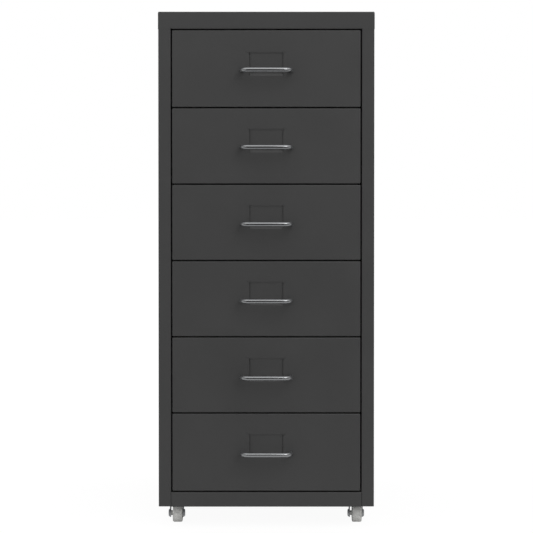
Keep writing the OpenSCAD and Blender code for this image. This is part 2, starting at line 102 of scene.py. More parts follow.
class Slot(Enum):
    """Material slots of the record."""

    SHELL = "shell_steel"
    DRAWER = "drawer_steel"
    RUNNER = "runner_steel"
    WIRE = "chrome_wire"
    SCREW = "zinc_screws"
    CASTOR = "castor_steel"
    BALL = "ball_steel"
    WHEEL = "wheel_plastic"


class Side(Enum):
    """Which side of the cabinet a piece is on, with the sign of its X."""

    LEFT = -1
    RIGHT = 1


class Corner(Enum):
    """Which corner of the base a castor stands under."""

    FRONT_LEFT = "front_left"
    FRONT_RIGHT = "front_right"
    REAR_LEFT = "rear_left"
    REAR_RIGHT = "rear_right"


@dataclass(frozen=True)
class Place:
    """The box that a CAD node fills at rest."""

    low: Vector
    high: Vector

    @classmethod
    def of(cls, node: str) -> "Place":
        """Reads a node's place from the frame."""
        return cls(*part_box(node))

    @property
    def middle(self) -> Vector:
        """Centre of the box."""
        return (self.low + self.high) / 2

    @property
    def size(self) -> Vector:
        """Width, depth and height of the box."""
        return self.high - self.low


class Joining(Enum):
    """What a second solid does to a piece."""

    CUT = "DIFFERENCE"
    ADD = "UNION"


# ---------------------------------------------------------------------------------------------- materials

# The noise texture's values lie mostly between the two of CLOUD_SPREAD.
CLOUD_SPREAD = (0.3, 0.7)
CLOUD_DETAIL = 3.0
CLOUD_ROUGHNESS = 0.55
# Numbers of the Mix node's colour sockets.
MIX_SHARE, MIX_FIRST, MIX_SECOND, MIX_RESULT = 0, 6, 7, 2


def linear(colour: str) -> tuple[float, float, float, float]:
    """Turns an sRGB hex colour into linear values.

    Args:
        colour: The colour, such as "#424242".

    Returns:
        Red, green, blue and an alpha of 1.
    """
    parts = [int(colour[k:k + 2], 16) / 255 for k in (1, 3, 5)]
    r, g, b = (c / 12.92 if c <= 0.04045 else ((c + 0.055) / 1.055) ** 2.4 for c in parts)
    return r, g, b, 1.0


def add_node(
    tree: bpy.types.NodeTree,
    kind: str,
    settings: dict | None = None,
    values: dict | None = None,
    links: dict | None = None,
) -> bpy.types.Node:
    """Adds one node to a tree.

    Args:
        tree: The tree that takes the node.
        kind: The node's type name.
        settings: The node's own properties.
        values: Values of its inputs, by name or number.
        links: Output sockets to link to its inputs, by name or number.

    Returns:
        The new node.
    """
    node = tree.nodes.new(kind)
    for name, value in (settings or {}).items():
        setattr(node, name, value)
    for key, value in (values or {}).items():
        node.inputs[key].default_value = value
    for key, socket in (links or {}).items():
        tree.links.new(socket, node.inputs[key])
    return node


@dataclass(frozen=True)
class Finish:
    """A surface with two close tones, uneven gloss and a fine relief."""

    name: str
    tones: tuple[str, str]
    metallic: float
    gloss: tuple[float, float]
    cloud: float
    relief: float
    relief_depth: float
    relief_detail: float = 2.0
    stretch: tuple[float, float, float] = (1.0, 1.0, 1.0)

    def material(self) -> bpy.types.Material:
        """Builds the material.

        Returns:
            A material whose tone and roughness drift over the cloud size, with bumps of the relief size.
        """
        made = bpy.data.materials.new(self.name)
        made.use_nodes = True
        tree = made.node_tree
        tree.nodes.clear()
        place = add_node(tree, "ShaderNodeTexCoord").outputs["Object"]
        cloud = add_node(
            tree, "ShaderNodeTexNoise",
            values={"Scale": 1 / self.cloud, "Detail": CLOUD_DETAIL, "Roughness": CLOUD_ROUGHNESS},
            links={"Vector": place},
        )
        tone = add_node(
            tree, "ShaderNodeMix", {"data_type": "RGBA"},
            {MIX_FIRST: linear(self.tones[0]), MIX_SECOND: linear(self.tones[1])},
            {MIX_SHARE: cloud.outputs["Fac"]},
        )
        gloss = add_node(
            tree, "ShaderNodeMapRange",
            values={"From Min": CLOUD_SPREAD[0], "From Max": CLOUD_SPREAD[1],
                    "To Min": self.gloss[0], "To Max": self.gloss[1]},
            links={"Value": cloud.outputs["Fac"]},
        )
        drawn = add_node(tree, "ShaderNodeMapping", values={"Scale": self.stretch}, links={"Vector": place})
        relief = add_node(
            tree, "ShaderNodeTexNoise",
            values={"Scale": 1 / self.relief, "Detail": self.relief_detail},
            links={"Vector": drawn.outputs["Vector"]},
        )
        bump = add_node(
            tree, "ShaderNodeBump",
            values={"Strength": 1.0, "Distance": self.relief_depth},
            links={"Height": relief.outputs["Fac"]},
        )
        shader = add_node(
            tree, "ShaderNodeBsdfPrincipled",
            values={"Metallic": self.metallic},
            links={"Base Color": tone.outputs[MIX_RESULT], "Roughness": gloss.outputs["Result"],
                   "Normal": bump.outputs["Normal"]},
        )
        add_node(tree, "ShaderNodeOutputMaterial", links={"Surface": shader.outputs["BSDF"]})
        return made


FINISHES = {
    # Polyester powder sprayed on folded steel and baked: satin, with the faint orange peel of melted grains,
    # about 0.8 mm across.
    Slot.SHELL: Finish(
        "powder_coated_steel_shell", ("#3a3a3a", "#3d3d3d"), metallic=0.0, gloss=(0.42, 0.5),
        cloud=90 * MM, relief=0.8 * MM, relief_depth=0.010 * MM,
    ),
    # The same powder on the drawers, from another hanging of the line.
    Slot.DRAWER: Finish(
        "powder_coated_steel_drawer", ("#3a3a3a", "#3d3d3d"), metallic=0.0, gloss=(0.42, 0.5),
        cloud=70 * MM, relief=0.8 * MM, relief_depth=0.010 * MM,
    ),
    # Powder coat rubbed by the trays along the ledges, so the gloss is more uneven over 12 mm.
    Slot.RUNNER: Finish(
        "powder_coated_steel_runner", ("#333333", "#454545"), metallic=0.0, gloss=(0.3, 0.5),
        cloud=12 * MM, relief=0.8 * MM, relief_depth=0.012 * MM,
    ),
    # Nickel and chrome plated on drawn wire: a mirror with a slight waviness left by polishing, 3 mm long.
    Slot.WIRE: Finish(
        "chrome_plated_wire", ("#bebfc1", "#c4c6c8"), metallic=0.94, gloss=(0.08, 0.13),
        cloud=8 * MM, relief=3 * MM, relief_depth=0.004 * MM, relief_detail=1.0,
    ),
    # Clear zinc plate on screws: bluish silver and slightly mottled, with crystals of about 0.5 mm.
    Slot.SCREW: Finish(
        "clear_zinc_plate", ("#a9acb0", "#c0c2c5"), metallic=1.0, gloss=(0.28, 0.42),
        cloud=2 * MM, relief=0.5 * MM, relief_depth=0.006 * MM,
    ),
    # Dull zinc plate on pressed steel, with the drawing marks of the press about 1 mm apart.
    Slot.CASTOR: Finish(
        "dull_zinc_plated_pressing", ("#b0b2b4", "#c4c6c8"), metallic=0.7, gloss=(0.4, 0.54),
        cloud=5 * MM, relief=1 * MM, relief_depth=0.012 * MM, relief_detail=3.0, stretch=(1.0, 1.0, 0.3),
    ),
    # Ground and tumbled bearing steel, nearly a mirror.
    Slot.BALL: Finish(
        "ground_bearing_steel", ("#bcbdbf", "#c4c5c7"), metallic=1.0, gloss=(0.08, 0.14),
        cloud=3 * MM, relief=0.6 * MM, relief_depth=0.001 * MM,
    ),
    # Injection moulded polypropylene: light grey, a little cloudy over 4 mm where the melt flowed, with
    # the fine texture of a spark-eroded mould, about 0.3 mm.
    Slot.WHEEL: Finish(
        "moulded_polypropylene", ("#a6a6a4", "#e2e2df"), metallic=0.0, gloss=(0.46, 0.6),
        cloud=4 * MM, relief=0.3 * MM, relief_depth=0.008 * MM,
    ),
}


class PaintShop:
    """Gives pieces their finish and body, and keeps one material for each slot."""

    def __init__(self) -> None:
        """Builds the material of every slot."""
        self.materials = {slot: finish.material() for slot, finish in FINISHES.items()}

    def dress_node(self, node: str, slot: Slot) -> None:
        """Gives a carried-over CAD node its finish.

        Args:
            node: The node's name.
            slot: The slot of its finish.
        """
        mesh = frame["nodes"][node].data
        mesh.materials.clear()
        mesh.materials.append(self.materials[slot])
        log.info("%s: kept, %s", node, slot.value)

    def dress_new(self, piece: bpy.types.Object, node: str, body: str, slot: Slot) -> None:
        """Gives a new piece its finish, and puts it in a CAD node's place.

        Args:
            piece: The new piece.
            node: The node that it stands for.
            body: The body that it moves with.
            slot: The slot of its finish.
        """
        piece.data.materials.clear()
        piece.data.materials.append(self.materials[slot])
        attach(piece, body)
        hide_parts(node)
        log.info("%s: %d faces, for %s on %s", piece.name, len(piece.data.polygons), node, body)


# ------------------------------------------------------------------------------------------- making shapes


def near(a: float, b: float) -> bool:
    """Whether two coordinates are the same."""
    return abs(a - b) < NEAR


def verts_in(geom: Iterable) -> list[BMVert]:
    """Picks the vertices out of an operator's result."""
    return [item for item in geom if isinstance(item, BMVert)]


def edge_middle(edge: BMEdge) -> Vector:
    """Middle of an edge."""
    return (edge.verts[0].co + edge.verts[1].co) / 2


def add_object(bm: BMesh, name: str) -> bpy.types.Object:
    """Turns a mesh under construction into an object at the origin, smooth except along its sharp edges.

    Args:
        bm: The mesh, freed here.
        name: The object's name.

    Returns:
        The new object.
    """
    for face in bm.faces:
        face.smooth = True
    for edge in bm.edges:
        edge.smooth = len(edge.link_faces) == 2 and edge.calc_face_angle() < SHARP_ANGLE
        edge.seam = False
    mesh = bpy.data.meshes.new(name)
    bm.to_mesh(mesh)
    bm.free()
    made = bpy.data.objects.new(name, mesh)
    bpy.context.scene.collection.objects.link(made)
    return made


def join_solids(piece: bpy.types.Object, tool: BMesh, how: Joining) -> None:
    """Cuts one solid out of a piece or adds it, and keeps the result as its mesh.

    Args:
        piece: The piece.
        tool: The other solid, freed here.
        how: Whether it is cut out or added.
    """
    other = add_object(tool, "tool")
    boolean = piece.modifiers.new("join", "BOOLEAN")
    boolean.operation = how.value
    boolean.solver = "EXACT"
    boolean.object = other
    shown = piece.evaluated_get(bpy.context.evaluated_depsgraph_get())
    result = bpy.data.meshes.new_from_object(shown)
    result.name = piece.name
    piece.modifiers.remove(boolean)
    piece.data = result
    bpy.data.objects.remove(other)
    bm = bmesh.new()
    bm.from_mesh(result)
    bmesh.ops.dissolve_degenerate(bm, edges=bm.edges[:], dist=SLIVER)
    for edge in bm.edges:
        edge.smooth = len(edge.link_faces) == 2 and edge.calc_face_angle() < SHARP_ANGLE
    bm.to_mesh(result)
    bm.free()


def soften(piece: bpy.types.Object, width: float) -> None:
    """Breaks the cut edges of a piece and keeps its flat faces flat.

    Args:
        piece: The piece.
        width: Width of the broken edge.
    """
    bevel = piece.modifiers.new("broken_edges", "BEVEL")
    bevel.width = width
    bevel.segments = EDGE_STEPS
    bevel.limit_method = "ANGLE"
    bevel.angle_limit = FOLD_ANGLE
    bevel.harden_normals = False
    normals = piece.modifiers.new("flat_faces", "WEIGHTED_NORMAL")
    normals.keep_sharp = True


def turned_to(axis: Vector) -> Matrix:
    """Turns +Z onto an axis."""
    return Z.rotation_difference(axis).to_matrix().to_4x4()


def rods(centres: Iterable[Vector], axis: Vector, diameter: float, length: float) -> BMesh:
    """Builds round rods, used as drills and as the ends of legs.

    Args:
        centres: The middle of each rod.
        axis: Their direction.
        diameter: Their diameter.
        length: Their length.

    Returns:
        One mesh with all the rods.
    """
    bm = bmesh.new()
    for centre in centres:
        bmesh.ops.create_cone(
            bm, cap_ends=True, segments=DRILL_FACETS, radius1=diameter / 2, radius2=diameter / 2,
            depth=length, matrix=Matrix.Translation(centre) @ turned_to(axis),
        )
    return bm


def drill(
    piece: bpy.types.Object, centres: Iterable[Vector], axis: Vector, diameter: float, length: float
) -> None:
    """Drills round holes into a piece.

    Args:
        piece: The piece.
        centres: The middle of the drill at each hole.
        axis: Their direction.
        diameter: Their diameter.
        length: Length of the drill.
    """
    join_solids(piece, rods(centres, axis, diameter, length), Joining.CUT)


@dataclass(frozen=True)
class Ring:
    """One corner of a turned profile: where it is along and out from the axis, and how round it is."""

    along: float
    out: float
    rounding: float = 0.0


def turn(profile: Sequence[Ring], centre: Vector, axis: Vector, closed: bool, steps: int) -> BMesh:
    """Turns a profile about an axis.

    Args:
        profile: Its corners in order.
        centre: The point on the axis where along is 0.
        axis: The direction of the axis.
        closed: Whether the last corner joins the first, as in a ring.
        steps: Facets in a full turn.

    Returns:
        The turned solid, with rounded corners.
    """
    bm = bmesh.new()
    verts = [bm.verts.new((ring.out, 0, ring.along)) for ring in profile]
    ends = verts[1:] + verts[:1] if closed else verts[1:]
    edges = [bm.edges.new(pair) for pair in zip(verts, ends)]
    bmesh.ops.spin(
        bm, geom=verts + edges, cent=(0, 0, 0), axis=Z, angle=math.tau, steps=steps, use_merge=True,
        use_duplicate=False,
    )
    bmesh.ops.remove_doubles(bm, verts=bm.verts[:], dist=MERGE)
    bmesh.ops.recalc_face_normals(bm, faces=bm.faces[:])
    for ring in profile:
        if ring.rounding > 0:
            round_ring(bm, ring)
    bmesh.ops.transform(bm, matrix=Matrix.Translation(centre) @ turned_to(axis), verts=bm.verts[:])
    return bm


def round_ring(bm: BMesh, ring: Ring) -> None:
    """Rounds one circular edge of a turned solid about Z.

    Args:
        bm: The solid.
        ring: The corner of its profile.
    """
    edges = [
        e for e in bm.edges
        if all(near(v.co.z, ring.along) and near(v.co.xy.length, ring.out) for v in e.verts)
    ]
    bmesh.ops.bevel(
        bm, geom=edges, offset=ring.rounding, offset_type="OFFSET", segments=RING_STEPS, profile=0.5,
        affect="EDGES", material=-1,
    )


class Sheet:
    """A folded sheet. It is drawn as its outer face, pressed so that the folds are round, then thickened."""

    def __init__(self, gauge: float, inner_r: float) -> None:
        """Starts with no metal.

        Args:
            gauge: Thickness of the sheet.
            inner_r: Inside radius of its folds.
        """
        self.bm = bmesh.new()
        self.gauge = gauge
        self.inner_r = inner_r

    def strip(self, path: Sequence[Vector], run: Vector) -> None:
        """Draws a section and pulls it out straight.

        Args:
            path: Corners of the section's outer face. Outside is where path cross run points.
            run: How far the section is pulled.
        """
        verts = [self.bm.verts.new(point) for point in path]
        edges = [self.bm.edges.new(pair) for pair in zip(verts, verts[1:])]
        made = bmesh.ops.extrude_edge_only(self.bm, edges=edges)["geom"]
        bmesh.ops.translate(self.bm, verts=verts_in(made), vec=run)
        self.bm.normal_update()
        first = edges[0].link_faces[0]
        if first.normal.dot((path[1] - path[0]).cross(run)) < 0:
            bmesh.ops.reverse_faces(self.bm, faces=self.bm.faces[:])

    def pan(self, low: Vector, high: Vector, open_to: Vector) -> None:
        """Draws a flat face with a skirt all round. The skirt's corners butt and aren't rounded.

        Args:
            low: Lowest corner of the pan's box.
            high: Highest corner of the pan's box.
            open_to: The direction in which it is open.
        """
        size = Matrix.Diagonal((*(high - low), 1))
        bmesh.ops.create_cube(self.bm, size=1, matrix=Matrix.Translation((low + high) / 2) @ size)
        self.bm.normal_update()
        mouth = max(self.bm.faces, key=lambda face: face.normal.dot(open_to))
        bmesh.ops.delete(self.bm, geom=[mouth], context="FACES")
        for edge in self.bm.edges:
            run = edge.verts[1].co - edge.verts[0].co
            edge.seam = abs(run.normalized().dot(open_to)) > ALONG

    def faces(self, test: Callable[[Vector], bool]) -> list[BMFace]:
        """Finds the faces whose centres pass a test."""
        return [face for face in self.bm.faces if test(face.calc_center_median())]

    def free_edges(self, test: Callable[[Vector], bool]) -> list[BMEdge]:
        """Finds the free edges whose middles pass a test."""
        return [edge for edge in self.bm.edges if edge.is_boundary and test(edge_middle(edge))]

    def score(self, test: Callable[[Vector], bool], axis: Vector, *places: float) -> None:
        """Divides faces along straight lines.

        Args:
            test: Picks the faces by their centres.
            axis: The direction across the lines.
            places: Where each line crosses the axis.
        """
        for place in places:
            faces = self.faces(test)
            geom = {item for face in faces for item in (face, *face.edges, *face.verts)}
            bmesh.ops.bisect_plane(
                self.bm, geom=list(geom), dist=MERGE, plane_co=axis * place, plane_no=axis
            )

    def cut_away(self, test: Callable[[Vector], bool]) -> None:
        """Removes the faces whose centres pass a test."""
        bmesh.ops.delete(self.bm, geom=self.faces(test), context="FACES")

    def flange(self, edges: list[BMEdge], *moves: Vector) -> list[BMEdge]:
        """Grows the sheet from free edges, one flange for each move.

        Args:
            edges: Free edges.
            moves: How far each flange goes.

        Returns:
            The free edges of the last flange.
        """
        for move in moves:
            new = set(verts_in(bmesh.ops.extrude_edge_only(self.bm, edges=edges)["geom"]))
            bmesh.ops.translate(self.bm, verts=list(new), vec=move)
            edges = [e for e in self.bm.edges if e.verts[0] in new and e.verts[1] in new]
        return edges

    def _radius_of(self, edge: BMEdge) -> float:
        """Radius of a fold line on the outer face, small enough for the flanges beside it."""
        full = self.inner_r + self.gauge if edge.is_convex else self.inner_r
        along = (edge.verts[1].co - edge.verts[0].co).normalized()
        widths = []
        for face in edge.link_faces:
            across = along.cross(face.normal)
            widths.append(max(abs((vert.co - edge.verts[0].co).dot(across)) for vert in face.verts))
        return round(min(full, FOLD_SHARE * min(widths)), RADIUS_DIGITS)

    def press(self) -> None:
        """Rounds every fold line, the tightest folds first."""
        for _ in range(FOLD_PASSES):
            self.bm.normal_update()
            lines = [
                edge for edge in self.bm.edges
                if len(edge.link_faces) == 2 and not edge.seam and edge.calc_face_angle() > FOLD_ANGLE
            ]
            if not lines:
                return
            radii = {edge: self._radius_of(edge) for edge in lines}
            radius = min(radii.values())
            bmesh.ops.bevel(
                self.bm, geom=[edge for edge in lines if radii[edge] == radius], offset=radius,
                offset_type="OFFSET", segments=FOLD_STEPS, profile=0.5, affect="EDGES", material=-1,
            )

    def solid(self, name: str) -> bpy.types.Object:
        """Presses the folds, gives the sheet its thickness inwards and makes it an object.

        Args:
            name: The object's name.

        Returns:
            The new object.
        """
        self.press()
        bmesh.ops.solidify(self.bm, geom=self.bm.faces[:], thickness=self.gauge)
        return add_object(self.bm, name)


# -------------------------------------------------------------------------------------------------- shell


@dataclass
class Carcass:
    """The shell: two sides, back, cap, base and the rail under the lowest drawer."""

    shop: PaintShop
    gauge: float = 0.8 * MM
    fold_r: float = 0.6 * MM
    cut_edge: float = 0.12 * MM
    rail_seam: float = 0.2 * MM
    jamb_depth: float = 14 * MM
    rear_flange: float = 14 * MM
    cap_skirt: float = 22.5 * MM
    cap_seam: float = 0.3 * MM
    cap_return: float = 12 * MM
    cap_flange: float = 12 * MM
    cap_slit: float = 0.2 * MM
    cap_slit_rise: float = 3 * MM
    step_in: float = 0.7 * MM
    step_rise: float = 1.4 * MM
    step_play: float = 0.4 * MM
    fold_margin: float = 0.1 * MM
    hem_height: float = 6 * MM
    hem_gap: float = 0.2 * MM
    end_relief: float = 3 * MM
    rail_leg: float = 12 * MM
    rail_let_out: float = 0.15 * MM
    tab_slot: float = 0.2 * MM
    base_fit: float = 0.6 * MM
    ear_play: float = 0.3 * MM
    hole: float = 3.9 * MM
    drill: float = 8 * MM
    short_drill: float = 4 * MM
    screw_rows: int = 5
    screw_row_end: float = 26 * MM
    rear_screw_gap: float = 96 * MM
    plate_screw_gap: float = 27 * MM
    side: Place = field(init=False)
    cap: Place = field(init=False)
    back: Place = field(init=False)
    base: Place = field(init=False)
    rail: Place = field(init=False)

    def __post_init__(self) -> None:
        """Reads the places of the shell's pieces."""
        self.side = Place.of("right_side_panel")
        self.cap = Place.of("top_cap")
        self.back = Place.of("back_panel")
        self.base = Place.of("bottom_panel")
        self.rail = Place.of("bottom_rail")

    @property
    def opening(self) -> float:
        """Half the width of the opening between the stiles."""
        return self.rail.high.x + self.rail_seam

    def _finish(self, piece: bpy.types.Object, node: str) -> None:
        """Breaks a shell piece's cut edges and dresses it."""
        soften(piece, self.cut_edge)
        self.shop.dress_new(piece, node, "cabinet", Slot.SHELL)

    def flange_screws(self, side: Side) -> list[Vector]:
        """Places of the screws along one rear flange."""
        x = side.value * (self.side.high.x - self.rear_flange / 2)
        low = self.side.low.z + self.screw_row_end
        gap = (self.cap.low.z - self.screw_row_end - low) / (self.screw_rows - 1)
        return [Vector((x, self.side.high.y, low + k * gap)) for k in range(self.screw_rows)]

    def rear_screws(self, z: float, y: float) -> list[Vector]:
        """Places of the row of three screws at one height of the rear."""
        return [Vector((k * self.rear_screw_gap, y, z)) for k in (-1, 0, 1)]

    def cap_screws(self) -> list[Vector]:
        """Places of the screws through the cap's rear skirt."""
        return self.rear_screws(self.cap.high.z - self.cap_skirt / 2, self.cap.high.y)

    def base_screws(self) -> list[Vector]:
        """Places of the screws through the back into the base."""
        return self.rear_screws((self.base.low.z + self.rail.high.z) / 2, self.back.high.y)

    def side_panel(self, side: Side) -> None:
        """Builds a side: lip, stile, side and rear flange from one sheet, stepped in under the cap.

        Args:
            side: Which side.
        """
        s, x = side.value, self.side.high.x
        front, rear, foot = self.side.low.y, self.side.high.y, self.side.low.z
        top = self.cap.low.z - self.cap_seam
        start, run = (foot, top - foot) if s > 0 else (top, foot - top)
        corners = [
            (self.opening, front + self.jamb_depth), (self.opening, front), (x, front), (x, rear),
            (x - self.rear_flange, rear),
        ]
        sheet = Sheet(self.gauge, self.fold_r)
        sheet.strip([Vector((s * u, v, start)) for u, v in corners], Z * run)
        sheet.press()
        step_end = self.back.low.y + self.cap_flange - self.step_play - self.step_in
        carry = (front + self.end_relief, rear - self.cap_flange - 2 * self.end_relief)
        sheet.score(lambda c: near(c.x * s, x), Y, step_end, *carry)
        lip_r = self.gauge + self.fold_r

        def in_step(m: Vector) -> bool:
            """Picks the top edges of the stile and side that go inside the cap."""
            return near(m.z, top) and m.x * s > self.opening + lip_r and m.y < step_end

        under_cap = self.cap.high.z - 2 * self.gauge - self.fold_r
        rise = Z * (under_cap - top - self.step_rise)
        inwards = Vector((-s * self.step_in, self.step_in, self.step_rise))
        sheet.flange(sheet.free_edges(in_step), inwards, rise)
        ends = [c + self.step_in for c in carry]
        edges = sheet.free_edges(lambda m: near(m.z, under_cap) and ends[0] < m.y < ends[1])
        sheet.flange(edges, Z * (self.gauge + self.fold_r), X * (-s * self.cap_flange))
        hem = [(-s * (2 * self.gauge + self.hem_gap), 0, 0), (0, 0, self.hem_height)]
        edges = sheet.free_edges(lambda m: near(m.z, foot) and carry[0] < m.y < rear - lip_r
                                 and near(m.x * s, x))
        sheet.flange(edges, *(Vector(move) for move in hem))
        name = f"{side.name.lower()}_side"
        piece = sheet.solid(f"{name}_sheet")
        drill(piece, self.flange_screws(side), Y, self.hole, self.drill)
        self._finish(piece, f"{name}_panel")

    def back_panel(self) -> None:
        """Builds the back: a flat sheet with an upper edge folded forwards under the cap."""
        low, high = self.back.low, self.back.high
        sheet = Sheet(self.gauge, self.fold_r)
        path = [(high.y, low.z), (high.y, high.z), (low.y, high.z)]
        sheet.strip([Vector((low.x, y, z)) for y, z in path], X * self.back.size.x)
        sheet.press()
        relief = (low.x + self.end_relief, high.x - self.end_relief)
        under_cap = high.z - self.gauge - self.fold_r - self.fold_margin
        sheet.score(lambda c: c.z > under_cap, X, *relief)
        sheet.cut_away(lambda c: c.z > under_cap and not relief[0] < c.x < relief[1])
        piece = sheet.solid("back_sheet")
        holes = [*self.flange_screws(Side.LEFT), *self.flange_screws(Side.RIGHT), *self.cap_screws(),
                 *self.base_screws()]
        drill(piece, holes, Y, self.hole, self.drill)
        self._finish(piece, "back_panel")

    def top_cap(self) -> None:
        """Builds the cap: a lid with a skirt all round, folded back under the front between the stiles."""
        low, high = self.cap.low, self.cap.high
        sheet = Sheet(self.gauge, self.fold_r)
        sheet.pan(low, high, -Z)
        sheet.press()
        slit = self.opening + self.cap_slit

        def front(c: Vector) -> bool:
            """Picks the faces of the front skirt."""
            return near(c.y, low.y)

        sheet.score(front, Z, low.z + self.cap_slit_rise)
        sheet.score(lambda c: front(c) and c.z < low.z + self.cap_slit_rise, X,
                    -slit, -self.opening, self.opening, slit)
        sheet.cut_away(lambda c: front(c) and c.z < low.z + self.cap_slit_rise
                       and self.opening < abs(c.x) < slit)
        edges = sheet.free_edges(lambda m: front(m) and m.z < low.z + NEAR and abs(m.x) < self.opening)
        sheet.flange(edges, Y * self.cap_return)
        piece = sheet.solid("cap_sheet")
        drill(piece, self.cap_screws(), Y, self.hole, self.short_drill)
        self._finish(piece, "top_cap")

    def bottom_panel(self) -> None:
        """Builds the base: a pan, open above, that carries the castors, with an ear in each stile's foot."""
        low, high = self.base.low, self.base.high
        front = self.side.low.y + self.jamb_depth + self.base_fit
        flat, wall_end = front + self.gauge + self.fold_r, self.opening + self.gauge
        sheet = Sheet(self.gauge, self.fold_r)
        sheet.pan(Vector((low.x, front, low.z)), high, Z)
        sheet.press()
        sheet.score(lambda c: True, Y, flat)
        sheet.score(lambda c: c.y < flat, X, -wall_end, wall_end)
        sheet.cut_away(lambda c: c.y < flat and abs(c.x) > wall_end)
        ear = wall_end + self.ear_play

        def in_floor(c: Vector) -> bool:
            """Picks what lies in the floor's outer face."""
            return near(c.z, low.z)

        sheet.score(in_floor, X, -ear, ear)
        edges = sheet.free_edges(lambda m: in_floor(m) and near(m.y, flat) and abs(m.x) > ear)
        sheet.flange(edges, Y * (low.y - flat))
        piece = sheet.solid("base_sheet")
        drill(piece, self.base_screws(), Y, self.hole, self.drill)
        centres = [Place.of(f"castor_{corner.value}_plate").middle for corner in Corner]
        half = self.plate_screw_gap / 2
        holes = [
            Vector((c.x + i * half, c.y + j * half, self.base.low.z))
            for c in centres for i in (-1, 1) for j in (-1, 1)
        ]
        drill(piece, holes, Z, self.hole, self.short_drill)
        self._finish(piece, "bottom_panel")

    def bottom_rail(self) -> None:
        """Builds the rail: a folded channel between the stiles, with a tab behind the seam at each end."""
        fit = X * self.rail_let_out
        low, high = self.rail.low - fit, self.rail.high + fit
        sheet = Sheet(self.gauge, self.fold_r)
        path = [(high.y, high.z), (low.y, high.z), (low.y, low.z), (low.y + self.rail_leg, low.z)]
        sheet.strip([Vector((low.x, y, z)) for y, z in path], X * (high.x - low.x))
        sheet.press()
        tab_y = low.y + self.gauge + self.fold_r + self.tab_slot
        slot_x = high.x - self.gauge - self.fold_r - self.tab_slot

        def on_top(c: Vector) -> bool:
            """Picks what lies in the upper flange's outer face."""
            return near(c.z, high.z)

        sheet.score(on_top, Y, tab_y)
        sheet.score(lambda c: on_top(c) and c.y < tab_y, X, -slot_x, slot_x)
        sheet.cut_away(lambda c: on_top(c) and c.y < tab_y and abs(c.x) > slot_x)
        drop = self.rail.size.z - 2 * self.gauge
        edges = sheet.free_edges(lambda m: on_top(m) and m.y > tab_y and abs(m.x) > high.x - NEAR)
        sheet.flange(edges, Z * -drop)
        self._finish(sheet.solid("rail_sheet"), "bottom_rail")

    def build(self) -> None:
        """Builds the shell and dresses what it keeps of the frame."""
        self.side_panel(Side.LEFT)
        self.side_panel(Side.RIGHT)
        self.back_panel()
        self.top_cap()
        self.bottom_panel()
        self.bottom_rail()
        self.shop.dress_node("left_runners", Slot.RUNNER)
        self.shop.dress_node("right_runners", Slot.RUNNER)
        self.shop.dress_node("shell_screws", Slot.SCREW)


# ------------------------------------------------------------------------------------------------ drawers


@dataclass
class LabelHolder:
    """The strip between two slits of a drawer front that is pressed in to take a card."""

    rise: float = 24.5 * MM
    height: float = 31.6 * MM
    width: float = 43.5 * MM
    slit: float = 0.3 * MM
    slit_play: float = 0.02 * MM
    push: float = 1.6 * MM
    slope: float = 3.2 * MM
    slope_steps: int = 8
    slope_bend: float = 0.25
    curve_r: float = 5 * MM
    curve_steps: int = 8

    def press_into(self, sheet: Sheet, foot: Vector) -> None:
        """Cuts the slits and pushes the strip between them in.

        Args:
            sheet: The drawer front, before it gets its thickness.
            foot: Middle of a foot of the handle, on the front's outer face.
        """
        inner, outer = (self.width - self.slit) / 2, (self.width + self.slit) / 2
        top = foot.z + self.rise
        bottom = top - self.height

        def front(c: Vector) -> bool:
            """Picks what lies in the front's outer face."""
            return near(c.y, foot.y)

        def between(c: Vector) -> bool:
            """Picks what lies between the holder's ends."""
            return front(c) and bottom < c.z < top

        sheet.score(front, Z, bottom, top)
        sheet.score(between, X, -outer, -inner, inner, outer)
        sheet.cut_away(lambda c: between(c) and inner < abs(c.x) < outer)
        steps = [self.slope * k / self.slope_steps for k in range(1, self.slope_steps + 1)]
        rows = [bottom + step for step in steps] + [top - step for step in steps]
        sheet.score(lambda c: between(c) and abs(c.x) < inner, Z, *rows)
        for vert in sheet.bm.verts:
            if front(vert.co) and bottom <= vert.co.z <= top and abs(vert.co.x) < inner + NEAR:
                share = min(vert.co.z - bottom, top - vert.co.z) / self.slope
                vert.co.y += self.push * self._bend(min(max(share, 0.0), 1.0))

    def _bend(self, share: float) -> float:
        """How far in the strip is at a share of its slope, with a soft bend at each end of the slope."""
        soft = self.slope_bend
        if share < soft:
            return share * share / (2 * soft * (1 - soft))
        if share > 1 - soft:
            return 1 - (1 - share) ** 2 / (2 * soft * (1 - soft))
        return (share - soft / 2) / (1 - soft)

    def slit_curves(self, foot: Vector, depth: float) -> BMesh:
        """Builds the tools for the curved upper ends of the slits.

        Args:
            foot: Middle of a foot of the handle, on the front's outer face.
            depth: Length of the tools.

        Returns:
            Two quarter rings that cut through the front.
        """
        bm = bmesh.new()
        centre_z = foot.z + self.rise - self.curve_r
        radii = (self.curve_r - self.slit_play, self.curve_r - self.slit + self.slit_play)
        for s in (-1, 1):
            centre = Vector((s * ((self.width - self.slit) / 2 + self.curve_r), foot.y, centre_z))
            verts = [
                bm.verts.new(centre + Vector((-s * r, y, 0)))
                for r, y in ((radii[0], -depth), (radii[1], -depth), (radii[1], depth), (radii[0], depth))
            ]
            start = bm.faces.new(verts)
            bmesh.ops.spin(
                bm, geom=[start, *start.edges, *start.verts], cent=centre, axis=Y, angle=s * math.pi / 2,
                steps=self.curve_steps, use_duplicate=False,
            )
        bmesh.ops.recalc_face_normals(bm, faces=bm.faces[:])
        return bm


